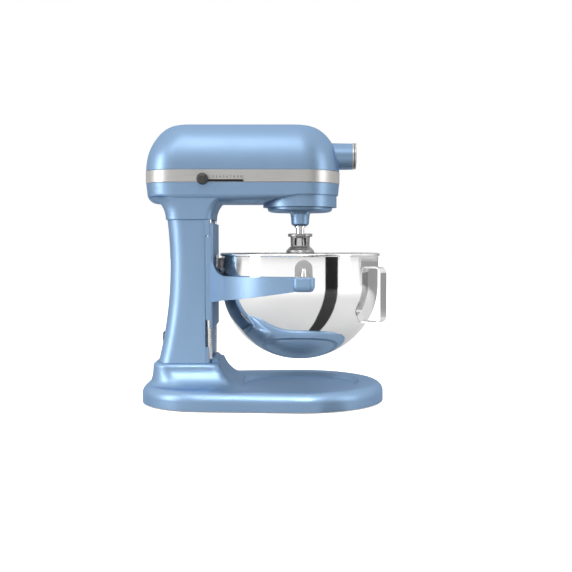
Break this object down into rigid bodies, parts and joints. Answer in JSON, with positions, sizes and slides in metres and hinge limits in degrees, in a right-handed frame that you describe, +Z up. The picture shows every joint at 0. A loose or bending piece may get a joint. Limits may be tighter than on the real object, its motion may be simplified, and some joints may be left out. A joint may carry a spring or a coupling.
{
  "type": "stand mixer",
  "caption": "Bowl-lift stand mixer with polished steel bowl, raised yoke, planetary beater drive, wire whip, speed lever and front attachment hub.",
  "frame": {"origin": "on the table, at the middle of the mixer's length and width", "axes": "+X to the front, the way the attachment hub points; +Z up; -Y is the side with the speed knob"},
  "size_m": [0.3675, 0.287, 0.419],
  "materials": {
    "blue_paint": "satin metallic",
    "satin_trim": "brushed satin",
    "bowl_steel": "polished",
    "bracket_steel": "matte",
    "rod_steel": "ground",
    "bright_steel": "bright",
    "gear_steel": "oiled",
    "bronze": "sintered",
    "cast_metal": "cast",
    "black_plastic": "satin",
    "black_knob": "gloss",
    "rubber": "matte",
    "zinc_screw": "zinc plated",
    "lamination": "laminated steel",
    "copper_winding": "enamelled copper",
    "board": "circuit board",
    "underplate_plastic": "grained",
    "whip_metal": "tumbled"
  },
  "bodies": {
    "stand": {"base_casting": "blue_paint", "base_underplate": "underplate_plastic", "rubber_feet": "rubber", "base_screws": "zinc_screw", "column_casting": "blue_paint", "frame_bolts": "zinc_screw", "guide_rods": "rod_steel", "cord_gland": "black_plastic", "head_lower_housing": "blue_paint", "head_top_cover": "blue_paint", "trim_band": "satin_trim", "speed_slot_guide": "black_plastic", "attachment_hub": "cast_metal", "hub_trim_ring": "satin_trim", "hub_hinge_pin": "bright_steel", "motor_stator": "lamination", "field_coils": "copper_winding", "motor_brackets": "cast_metal", "motor_bearings": "bright_steel", "brush_holders": "black_plastic", "control_board": "board", "transmission_case": "cast_metal", "wheel_axle": "gear_steel", "drive_bushes": "bronze", "ring_gear": "gear_steel", "lever_bushes": "bronze"},
    "carriage": {"bowl_yoke": "blue_paint", "locating_pins": "bright_steel", "slide_bushes": "bronze", "bowl_latch_spring": "bright_steel", "latch_screws": "zinc_screw", "bowl": "bowl_steel", "bowl_side_brackets": "bracket_steel", "bowl_rear_bracket": "bracket_steel", "bowl_handle": "bowl_steel"},
    "lift_lever": {"lift_shaft": "rod_steel", "lift_crank": "gear_steel", "lift_lever_arm": "blue_paint", "lift_lever_knob": "black_knob"},
    "speed_lever": {"speed_knob": "black_knob", "speed_link": "black_plastic"},
    "planetary": {"planetary_carrier": "blue_paint", "beater_bushes": "bronze", "center_shaft": "gear_steel", "center_gear": "gear_steel", "center_bevel": "gear_steel"},
    "beater": {"beater_shaft": "bright_steel", "planet_pinion": "gear_steel", "shaft_collar": "bright_steel", "shaft_pin": "bright_steel", "whip_hub": "whip_metal", "whip_wires": "bright_steel"},
    "armature": {"armature_shaft": "gear_steel", "armature_core": "lamination", "commutator": "copper_winding", "cooling_fan": "black_plastic"},
    "worm_gear": {"worm_wheel": "bronze"},
    "hub_output": {"hub_drive": "gear_steel"},
    "hub_flap": {"hub_cover": "satin_trim"},
    "hub_screw": {"attachment_knob": "black_knob"}
  },
  "joints": [
    {"name": "bowl_lift", "type": "slide", "parent": "stand", "child": "carriage", "axis": [0, 0, -1], "range_m": [0, 0.038]},
    {"name": "lift_lever_turn", "type": "hinge", "parent": "stand", "child": "lift_lever", "pos_m": [-0.095, 0, 0.176], "axis": [0, -1, 0], "range_deg": [0, 100]},
    {"name": "speed_slide", "type": "slide", "parent": "stand", "child": "speed_lever", "axis": [1, 0, 0], "range_m": [0, 0.054]},
    {"name": "planetary_spin", "type": "hinge", "parent": "stand", "child": "planetary", "pos_m": [0.0575, 0, 0.3], "axis": [0, 0, 1], "continuous": true},
    {"name": "beater_spin", "type": "hinge", "parent": "planetary", "child": "beater", "pos_m": [0.0575, -0.028, 0.3], "axis": [0, 0, 1], "continuous": true},
    {"name": "worm_gear_spin", "type": "hinge", "parent": "stand", "child": "worm_gear", "pos_m": [0.00497, 0.029, 0.33], "axis": [0, 0, 1], "continuous": true},
    {"name": "armature_spin", "type": "hinge", "parent": "stand", "child": "armature", "pos_m": [0, 0, 0.339], "axis": [1, 0, 0], "continuous": true},
    {"name": "hub_output_spin", "type": "hinge", "parent": "stand", "child": "hub_output", "pos_m": [0.1, 0, 0.373], "axis": [1, 0, 0], "continuous": true},
    {"name": "hub_cover_open", "type": "hinge", "parent": "stand", "child": "hub_flap", "pos_m": [0.1416, 0, 0.3914], "axis": [0, -1, 0], "range_deg": [0, 110]},
    {"name": "attachment_knob_turn", "type": "hinge", "parent": "stand", "child": "hub_screw", "pos_m": [0.124, 0.03, 0.373], "axis": [0, 1, 0], "continuous": true}
  ],
  "couplings": [
    {"joint": "lift_lever_turn", "follows": "bowl_lift", "rad_per_m": 45.93},
    {"joint": "beater_spin", "follows": "planetary_spin", "ratio": -3.3333},
    {"joint": "worm_gear_spin", "follows": "planetary_spin", "ratio": -4},
    {"joint": "armature_spin", "follows": "planetary_spin", "ratio": 120},
    {"joint": "hub_output_spin", "follows": "planetary_spin", "ratio": 1}
  ]
}
